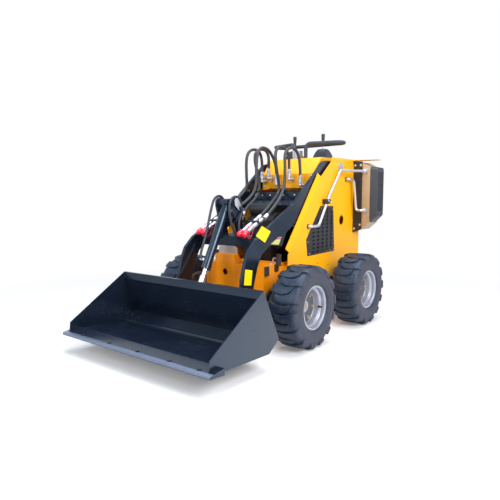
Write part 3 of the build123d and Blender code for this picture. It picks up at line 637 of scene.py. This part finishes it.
lug = bmesh.new()
bmesh.ops.create_grid(lug, x_segments=15, y_segments=4, size=1.0)
bmesh.ops.scale(lug, vec=(0.5, 1, 1), verts=lug.verts)
bmesh.ops.translate(lug, vec=(0.5, 0, 0), verts=lug.verts)
raised = bmesh.ops.extrude_face_region(lug, geom=lug.faces[:])
tops = [v for v in raised["geom"] if isinstance(v, bmesh.types.BMVert)]
bmesh.ops.translate(lug, vec=(0, 0, 1), verts=tops)
for vert in lug.verts:
    vert.co = wrapped(vert.co)
bmesh.ops.recalc_face_normals(lug, faces=lug.faces)
rim_edges = [e for e in lug.edges if len(e.link_faces) == 2 and e.calc_face_angle() > radians(50)
             and all(v.co.yz.length > CROWN_R or v.co.x > SHOULDER_X for v in e.verts)]
bmesh.ops.bevel(lug, geom=rim_edges, offset=3.2, segments=3, profile=0.5, affect="EDGES",
                clamp_overlap=True, material=-1)
print("lug faces", len(lug.faces))

# %% [markdown]
# The casing is a spun profile: a bead in the rim, a wall that bulges past it with a rib that
# guards the rim, and a low crown under the lugs.

# %% Casing and whole tyre
wall_rows = [(79.5, 129), (79.5, 136), (83, 140), (88, 144), (92.5, 149), (94, 153), (92.6, 157),
             (94.2, 163), (96.4, 174), (97.2, 188), (96.4, 190), (97, 193), (96, 204), (93.6, 216),
             (89.5, 227), (83, 235.5), (73, 240.5), (58, 243), (30, 244), (0, 244.4)]
casing = bmesh.new()
ring = [casing.verts.new((x, 0, radius)) for x, radius in wall_rows]
ring += [casing.verts.new((-x, 0, radius)) for x, radius in reversed(wall_rows[:-1])]
edges = [casing.edges.new(pair) for pair in zip(ring, ring[1:] + ring[:1])]
bmesh.ops.spin(casing, geom=ring + edges, cent=(0, 0, 0), axis=(1, 0, 0), angle=2 * pi, steps=112,
               use_merge=True)
bmesh.ops.remove_doubles(casing, verts=casing.verts, dist=0.004)
bmesh.ops.recalc_face_normals(casing, faces=casing.faces)

tyre = bmesh.new()
add_to(tyre, casing, Matrix.Identity(4))
for i in range(LUGS):
    add_to(tyre, lug, Matrix.Rotation(2 * pi * i / LUGS, 4, "X"))
    half_on = Matrix.Rotation(2 * pi * (i + 0.5) / LUGS, 4, "X")
    add_to(tyre, lug, half_on @ Matrix.Scale(-1, 4, (1, 0, 0)))
casing.free()
lug.free()
print("tyre faces", len(tyre.faces))

# %% [markdown]
# Rims are pressed from sheet: a rolled flange, a bead seat that steps in, a well, and a disc
# that is set deep. The same profile is spun once, and nuts stand on a circle on the disc.

# %% Rim, nuts and valve
rim_rows = [(83, 128), (83, 134), (81.5, 137), (78.5, 137), (79.4, 128), (58, 127.5), (50, 112), (-46, 112),
            (-54, 127.5), (-79.4, 128), (-78.5, 137), (-81.5, 137), (-83, 134), (-83, 124), (-78, 121.5),
            (-56, 121), (-47, 106.5), (3, 106), (3, 21), (13, 21), (13, 62), (15, 66), (15, 92), (13, 97),
            (13, 104), (18, 106), (42, 106.5), (50, 110), (53, 117), (57, 121), (76, 121.5), (81, 124)]
rim = turned(rim_rows, 84, 0.0, True)
soften(rim, 1.6, 2, 34)
to_axle = Matrix.Rotation(radians(90), 4, "Y")
rim_nuts = bmesh.new()
nut = hexagon(9.5, 8)
for i in range(6):
    add_to(rim_nuts, nut, facing((13.5 + 1.5, 79 * cos(i * pi / 3), 79 * sin(i * pi / 3)), (1, 0, 0)))
nut.free()
hub = turned([(0, 0), (0, 30), (3, 33), (9, 33), (11, 26), (11, 0)], 32, 0.6)
add_to(rim_nuts, hub, facing((1.5, 0, 0), (1, 0, 0)))
hub.free()
disc = turned([(12.5, 34), (13.8, 36), (13.8, 61), (15.8, 66.5), (15.8, 91.5), (13.8, 97),
               (13.8, 101), (12.5, 102)], 64)
valve = turned([(0, 0), (0, 7.5), (5, 7.5), (9, 5), (20, 5), (21, 6), (27, 6), (27, 0)], 16, 0.4)

# columns: body end, axle y, side, turn of the wheel in degrees
wheels = [("front_left", -15, 1, 8), ("rear_left", 745, 1, -118), ("front_right", -15, -1, 40),
          ("rear_right", 745, -1, 160)]
for name, y, side, angle in wheels:
    body = "wheel_" + name
    seat = Matrix.Translation((side * 477, y, 255)) @ Matrix.Scale(side, 4, (1, 0, 0))
    seat = seat @ Matrix.Rotation(radians(-angle), 4, "X")
    for kind, shape, finish, slot in (("tyre", tyre, "tyre", "tyre_rubber"),
                                      ("rim", rim, "rim", "rim_paint"),
                                      ("disc", disc, "disc", "rim_paint"),
                                      ("nuts", rim_nuts, "brass", "zinc"),
                                      ("valve", valve, "stop", "hose_rubber")):
        whole = bmesh.new()
        local = Matrix.Identity(4)
        if kind in ("rim", "disc"):
            local = to_axle
        if kind == "valve":
            local = facing((47, 108, 0), (0.9, -0.42, 0))
        add_to(whole, shape, seat @ local)
        piece = made(kind + "_piece_" + name, whole, finish, body, 38, redo=False)
        if kind in ("tyre", "rim"):
            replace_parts(piece, kind + "_" + name)
for shape in (tyre, rim, rim_nuts, disc, valve):
    shape.free()

# %% [markdown]
# The levers stand on square rubber boots in two tiers, with a bright stem and a black knob.
# A boot is a square pushed up and drawn in tier by tier, then rounded.

# %% Levers
def boot(rows):
    # rows are (half width, height); each pushes the top face on
    shape = bmesh.new()
    seat = Matrix.Rotation(radians(45), 4, "Z") @ Matrix.Translation((0, 0, rows[0][1]))
    bmesh.ops.create_circle(shape, cap_ends=True, segments=4, radius=rows[0][0] * sqrt(2),
                            matrix=seat)
    top = shape.faces[:]
    wide, low = rows[0]
    for half, height in rows[1:]:
        pushed = bmesh.ops.extrude_face_region(shape, geom=top)
        verts = [v for v in pushed["geom"] if isinstance(v, bmesh.types.BMVert)]
        bmesh.ops.translate(shape, vec=(0, 0, height - low), verts=verts)
        bmesh.ops.scale(shape, vec=(half / wide, half / wide, 1), verts=verts)
        bmesh.ops.delete(shape, geom=top, context="FACES_ONLY")
        top = [f for f in pushed["geom"] if isinstance(f, bmesh.types.BMFace)]
        wide, low = half, height
    bmesh.ops.recalc_face_normals(shape, faces=shape.faces)
    soften(shape, 1.4, 2, 8)
    return shape


boots = bmesh.new()
stems = bmesh.new()
knobs = bmesh.new()
cover = boot([(61, 0), (61, 4), (43, 52), (41, 56), (30, 74), (18, 78)])
stem = turned([(70, 0), (70, 15), (76, 9), (82, 6), (158, 6), (158, 0)], 20, 0.4)
knob = turned([(96, 0), (96, 8), (100, 10), (128, 10.5), (150, 12), (168, 13.2), (180, 14),
               (188, 13), (192, 9), (192, 0)], 28, 1.2)
for side in (1, -1):
    foot = Matrix.Translation((side * 126, 844, 1207))
    add_to(boots, cover, foot)
    add_to(stems, stem, foot)
    add_to(knobs, knob, foot)
for shape in (cover, stem, knob):
    shape.free()
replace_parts(made("boots", boots, "boot", "chassis", 20), "joysticks")
made("lever_stems", stems, "ferrule", "chassis")
made("lever_knobs", knobs, "boot", "chassis", 40)

# %% [markdown]
# Red dust caps close the couplers. Each cap is a soft moulded cup with a rounded end, tied
# by a strap so that it isn't lost. A red ring marks each coupler's sleeve.

# %% Dust caps, straps and rings
slope = radians(25)
run = Vector((0, cos(slope), sin(slope)))
foot = Vector((0, -240, 690))
cup = turned([(0, 0), (0, 9), (2, 13), (9, 17.5), (20, 18.2), (38, 18), (38, 19.2),
              (44.5, 19.4), (44.5, 0)], 30, 1.0)
mark = turned([(95, 14), (95, 17.6), (101, 17.6), (101, 14)], 28, 0.6, True)
caps = bmesh.new()
marks = bmesh.new()
for x in (150, 190, -150, -190):
    place = facing(foot + Vector((x, 0, 0)), run)
    add_to(caps, cup, place)
    add_to(marks, mark, place)
cup.free()
mark.free()
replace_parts(made("dust_caps", caps, "red", "boom", 40), "coupler_caps")
made("coupler_rings", marks, "red", "boom")
for side in (1, -1):
    for x in (150, 190):
        low = foot + Vector((side * x, 0, -20))
        loop = [low + run * 42, low + run * 50 + Vector((side * 3, 0, -26)),
                low + run * 78 + Vector((0, 0, -34)),
                low + run * 104 + Vector((side * 2, 0, -8)), low + run * 110 + Vector((0, 0, 6))]
        name = f"cap_strap_{'left' if side > 0 else 'right'}_{x}"
        strap = hose_line(name, [tuple(p) for p in loop], 2.2, "boom")
        strap.data.materials[0] = finishes["red"].material

# %% [markdown]
# Blank labels stand for the stickers on the arm: a diamond, an upright oblong and a pale
# one with a band. A sticker is a thin plate whose corners are cut round, laid on the arm.

# %% Blank labels on the left arm
def label(name, corners, finish, x=270.0, side=1):
    shape = bmesh.new()
    verts = [shape.verts.new((side * (x + 0.1), y, z)) for y, z in corners]
    shape.faces.new(verts)
    bmesh.ops.bevel(shape, geom=shape.verts[:], offset=3, segments=3, profile=0.5, affect="VERTICES",
                    material=-1)
    pushed = bmesh.ops.extrude_face_region(shape, geom=shape.faces[:])
    moved = [v for v in pushed["geom"] if isinstance(v, bmesh.types.BMVert)]
    bmesh.ops.translate(shape, vec=(side * 0.5, 0, 0), verts=moved)
    return made(name, shape, finish, "boom")


label("label_diamond", [(-66, 707), (-128, 642), (-221, 690), (-160, 746)], "vinyl")
label("label_oblong", [(-256, 486), (-269, 396), (-340, 408), (-327, 500)], "vinyl")
label("label_pale", [(46, 652), (24, 618), (-66, 628), (-8, 654)], "beige")
label("label_band", [(60, 666), (48, 655), (-4, 657), (22, 668)], "pink")

# %% [markdown]
# Bolts hold the grilles, the panels, the cooler and the bucket's edge. One head is modelled
# and copied to a short table of places, with the way it faces, in one mesh for each body.

# %% Bolts
def bolts(name, body, finish, size, height, places):
    whole = bmesh.new()
    head = hexagon(size, height)
    for point, direction in places:
        add_to(whole, head, facing(point, direction))
    head.free()
    return made(name, whole, finish, body)


grille_corners = [(530, 838), (692, 828), (712, 532), (366, 528), (346, 612)]
grille_places = [((side * 293, y, z), (side, 0, 0)) for side in (1, -1) for y, z in grille_corners]
bolts("grille_bolts", "chassis", "brass", 5.0, 3.5, grille_places)
panel_places = [((side * 290, y, z), (side, 0, 0)) for side in (1, -1)
                for y, z in [(486, 450), (640, 424), (1120, 1150), (1120, 640), (1120, 380)]]
bolts("panel_bolts", "chassis", "brass", 5.0, 3.5, panel_places)
cooler_places = [((x, 1037, z), (0, -1, 0)) for x, z in [(304, 668), (304, 1160), (350, 700), (350, 1160)]]
bolts("cooler_bolts", "chassis", "zinc", 6.5, 5, cooler_places)
deck_places = [((x, y, 492), (0, 0, 1)) for x in (-222, 222) for y in (8, 92)]
deck_places += [((x, 537, 1000), (0, -1, 0)) for x in (-205, 205)]
deck_places += [((x, 537, 1070), (0, -1, 0)) for x in (-205, 205)]
bolts("deck_bolts", "chassis", "zinc", 7, 6, deck_places)
ear_places = [((side * 72, y, z), (side, 0, 0)) for side in (1, -1) for y, z in [(-118, 700)]]
ear_places += [((83, -132, 852), (1, 0, 0))]
bolts("arm_bolts", "boom", "arm", 9, 6, ear_places)
edge_places = [((x, -975, 129), (0, -0.18, 1)) for x in (-420, -180, 60, 300, 500)]
bolts("edge_bolts", "bucket", "arm", 9, 4, edge_places)

# %% [markdown]
# Black blocks clamp the cooler's steel pipes to the panel, with two screws. Hexagon unions
# join the pipes to the panel and the cooler.

# %% Pipe clamp and unions
clamp = bmesh.new()
block = Matrix.Translation((313, 568, 886)) @ Matrix.Diagonal((46, 48, 34, 1))
bmesh.ops.create_cube(clamp, size=1, matrix=block)
soften(clamp, 4, 3)
made("pipe_clamp", clamp, "sheet", "chassis")
clamp_places = [((335, 556, 892), (1, 0, 0)), ((335, 580, 880), (1, 0, 0))]
bolts("pipe_clamp_screws", "chassis", "zinc", 6, 4, clamp_places)
unions = bmesh.new()
body_nut = hexagon(15, 16)
collar = hexagon(17, 10)
for point in [(384, 1041, 1112), (384, 1041, 812)]:
    add_to(unions, collar, facing(point, (0, -1, 0)))
    add_to(unions, body_nut, facing((point[0], point[1] - 12, point[2]), (0, -1, 0)))
body_nut.free()
collar.free()
made("pipe_unions", unions, "zinc", "chassis")
grommets = bmesh.new()
ring = turned([(-1, 9.5), (-1, 17), (3, 17), (3, 9.5)], 28, 0.8, True)
for y, z in [(350, 718), (905, 1050)]:
    add_to(grommets, ring, facing((290, y, z), (1, 0, 0)))
ring.free()
made("pipe_grommets", grommets, "stop", "chassis")

# %% [markdown]
# The tilt cylinder has its own lines. The long one loops over the top pin and runs down the
# barrel to the lower port; on the machine it bends where the barrel swings, here it is one fixed
# mesh on no body. Two more stay on the arms.

# %% Tilt lines and elbow
side = hose_line("tilt_hose_side", [(-88, -66, 820), (-91, -82, 905), (-91, -128, 936), (-89, -186, 918),
                                    (-84, -222, 850), (-74, -262, 756), (-66, -304, 660), (-64, -348, 580),
                                    (-56, -356, 545), (-42, -346, 538)], 8)
side.data.materials[0] = finishes["boot"].material
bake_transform(side)
inner_line = hose_line("tilt_hose_inner", [(44, -60, 800), (46, -74, 885), (48, -118, 930), (54, -190, 916),
                                           (60, -216, 850), (66, -206, 760), (74, -176, 692),
                                           (78, -146, 656)], 8, "boom")
short_points = [(84, -100, 850), (88, -150, 790), (96, -168, 716), (104, -146, 660)]
short_line = hose_line("tilt_hose_short", short_points, 7, "boom")
elbows = bmesh.new()
sleeve = ferrule(34, 10.5)
add_to(elbows, sleeve, facing((-30, -344, 537), (-1, -0.2, 0.1)))
sleeve.free()
made("tilt_elbow", elbows, "ferrule", "tilt_barrel_body")

for line in (inner_line, short_line):
    line.data.materials[0] = finishes["boot"].material

# %% [markdown]
# The bucket is welded from plate. Beads run inside the corners where floor, back and sides
# meet: a rod of filler with a ripple where each drop froze. A thin spun rod with waves along
# its length gives that at a low count of faces.

# %% Weld beads in the bucket
def bead(start, end, radius):
    start, end = Vector(start), Vector(end)
    size = (end - start).length
    steps = max(int(size / 9), 4)
    rows = [(0, 0)]
    rows += [(size * i / steps, radius * (1 + 0.16 * (-1) ** i)) for i in range(steps + 1)]
    rows += [(size, 0)]
    rod = turned(rows, 8)
    return rod, facing(start, end - start)


beads = bmesh.new()
inner = 559.5
for start, end in [((-inner, -547, 424), (-inner, -551, 394)), ((-inner, -551, 394), (-inner, -460, 162)),
                   ((-inner, -460, 162), (-inner, -520, 121)), ((-inner, -520, 121), (-inner, -970, 126)),
                   ((-inner, -521, 121), (inner, -521, 121)),
                   ((-inner, -902, 136), (inner, -902, 136)), ((-inner, -462, 160), (inner, -462, 160))]:
    rod, place = bead(start, end, 3.0)
    add_to(beads, rod, place)
    if start[0] == end[0]:
        add_to(beads, rod, Matrix.Scale(-1, 4, (1, 0, 0)) @ place)
    rod.free()
made("bucket_beads", beads, "bucket", "bucket", 60)

# %% [markdown]
# Thin sheet pieces finish some faces: the bright worn bevel of the cutting edge, the silver
# flag on the ear, and black sheets behind the grilles and in the engine bay, which are painted
# shade for the dark inside. Each has the thickness of sheet, with its edges broken by a bevel.

# %% Thin sheet pieces
def sheet_x(outline, x0, x1, width=0.6):
    # an outline in (y, z), thick from x0 to x1
    shape = bmesh.new()
    shape.faces.new([shape.verts.new((x0, y, z)) for y, z in outline])
    pushed = bmesh.ops.extrude_face_region(shape, geom=shape.faces[:])
    moved = [v for v in pushed["geom"] if isinstance(v, bmesh.types.BMVert)]
    bmesh.ops.translate(shape, vec=(x1 - x0, 0, 0), verts=moved)
    bmesh.ops.recalc_face_normals(shape, faces=shape.faces)
    soften(shape, width, 2)
    return shape


bevel_strip = sheet_x([(-1006.5, 112), (-1003.6, 125), (-981, 128.2), (-981, 126)], -594.5, 594.5, 0.5)
made("edge_wear", bevel_strip, "wear", "bucket")
flag_edge = [(-184, 872), (-187, 900), (-176, 916), (-156, 916), (-122, 872), (-117, 852),
             (-130, 838), (-150, 842)]
made("pin_flag", sheet_x(flag_edge, 80.2, 83.0, 1.2), "ferrule", "boom")
opening = [(520, 846), (698, 842), (720, 528), (352, 522), (337, 628)]
shade_sheets = bmesh.new()
painted_shade = bmesh.new()
# dark sheets inside the engine bay are painted shade for the dark seen through its openings
for x0, x1, y0, y1 in [(-170, 170, 593, 596), (168, 171, 600, 1140), (-171, -168, 600, 1140)]:
    middle = Matrix.Translation(((x0 + x1) / 2, (y0 + y1) / 2, 690))
    pad = bmesh.new()
    bmesh.ops.create_cube(pad, size=1, matrix=middle @ Matrix.Diagonal((x1 - x0, y1 - y0, 560, 1)))
    soften(pad, 1.0, 2)
    add_to(painted_shade, pad, Matrix.Identity(4))
    pad.free()
made("bay_painted_shade", painted_shade, "cast", "chassis")
# black sheets behind the grille openings are painted shade for the dark inside the bay
for side in (1, -1):
    shade_sheet = sheet_x(opening, side * 283.5, side * 285, 0.3)
    add_to(shade_sheets, shade_sheet, Matrix.Identity(4))
    shade_sheet.free()
made("grille_shade_sheets", shade_sheets, "cast", "chassis")

# %% [markdown]
# The floor is plain and pale, and the background white. A camera or a mirror sees the world
# at strength 1, which is white, while the light that falls on the machine is set apart, so
# the white never adds light. The floor keeps the shadow.

# %% Floor and world
ground = bmesh.new()
bmesh.ops.create_grid(ground, x_segments=1, y_segments=1, size=40000)
mesh = bpy.data.meshes.new("floor")
ground.to_mesh(mesh)
ground.free()
mesh.transform(TO_FRAME)
floor = bpy.data.objects.new("floor", mesh)
bpy.context.scene.collection.objects.link(floor)
pale = Finish("pale_floor", Specular_IOR_Level=0.0, Roughness=0.9)
pale.feed(Base_Color=pale.colours(pale.noise(0.8, 2), seen(250, 250, 251), seen(247, 247, 249)))
glow = pale.node("ShaderNodeEmission", {}, {"Color": (1, 1, 1, 1), "Strength": 1.0})
path = pale.node("ShaderNodeLightPath", {}, {}, "Is Camera Ray")
away = pale.node("ShaderNodeVectorMath", {"operation": "LENGTH"}, {0: pale.place}, 1)
mixed = pale.node("ShaderNodeMixShader", {}, {0: path * (0.16 + 0.84 * pale.step(away, 1.5, 3.4))})
pale.tree.links.new(pale.shader.outputs[0], mixed.socket.node.inputs[1])
pale.tree.links.new(glow.socket, mixed.socket.node.inputs[2])
pale.tree.links.new(mixed.socket, pale.tree.nodes["Material Output"].inputs["Surface"])
mesh.materials.append(pale.material)

world = bpy.data.worlds.new("sky")
bpy.context.scene.world = world
world.use_nodes = True
nodes, links = world.node_tree.nodes, world.node_tree.links
back = nodes["Background"]
way = nodes.new("ShaderNodeTexCoord")
split = nodes.new("ShaderNodeSeparateXYZ")
links.new(way.outputs["Generated"], split.inputs[0])
rise = nodes.new("ShaderNodeMapRange")
rise.inputs["From Min"].default_value = 0.38
rise.inputs["From Max"].default_value = 0.85
links.new(split.outputs["Z"], rise.inputs["Value"])
tint = nodes.new("ShaderNodeMix")
tint.data_type = "RGBA"
tint.inputs[6].default_value = (1, 1, 1, 1)
tint.inputs[7].default_value = (0.42, 0.62, 0.95, 1)
links.new(rise.outputs[0], tint.inputs[0])
links.new(tint.outputs[2], back.inputs["Color"])
rays = nodes.new("ShaderNodeLightPath")
seen_rays = nodes.new("ShaderNodeMath")
seen_rays.operation = "MAXIMUM"
links.new(rays.outputs["Is Camera Ray"], seen_rays.inputs[0])
links.new(rays.outputs["Is Glossy Ray"], seen_rays.inputs[1])
shown = nodes.new("ShaderNodeMath")
shown.operation = "MAXIMUM"
links.new(seen_rays.outputs[0], shown.inputs[0])
links.new(rays.outputs["Is Transmission Ray"], shown.inputs[1])
level = nodes.new("ShaderNodeMapRange")
level.inputs["To Min"].default_value = 0.40
level.inputs["To Max"].default_value = 1.0
links.new(shown.outputs[0], level.inputs["Value"])
links.new(level.outputs[0], back.inputs["Strength"])
print("floor and world ready")

# %% [markdown]
# Light is plain and soft: a large key from the machine's left and front, high up, a weaker
# one from the front right and a broad one above. Large areas give soft shadow edges.

# %% Lights
def lamp(name, place, target, size, power):
    data = bpy.data.lights.new(name, "AREA")
    data.shape = "SQUARE"
    data.size = size
    data.energy = power
    light = bpy.data.objects.new(name, data)
    light.matrix_world = facing(place, Vector(place) - Vector(target))
    bpy.context.scene.collection.objects.link(light)


lamp("key", (3.8, -1.4, 3.2), (0, 0, 0.5), 2.4, 215)
lamp("front", (-0.8, -4.4, 2.6), (0, 0, 0.4), 2.6, 105)
lamp("top", (0.3, 0.2, 4.6), (0, 0, 0.5), 3.0, 165)
bpy.context.scene.view_settings.view_transform = "Standard"
print("lamps ready")
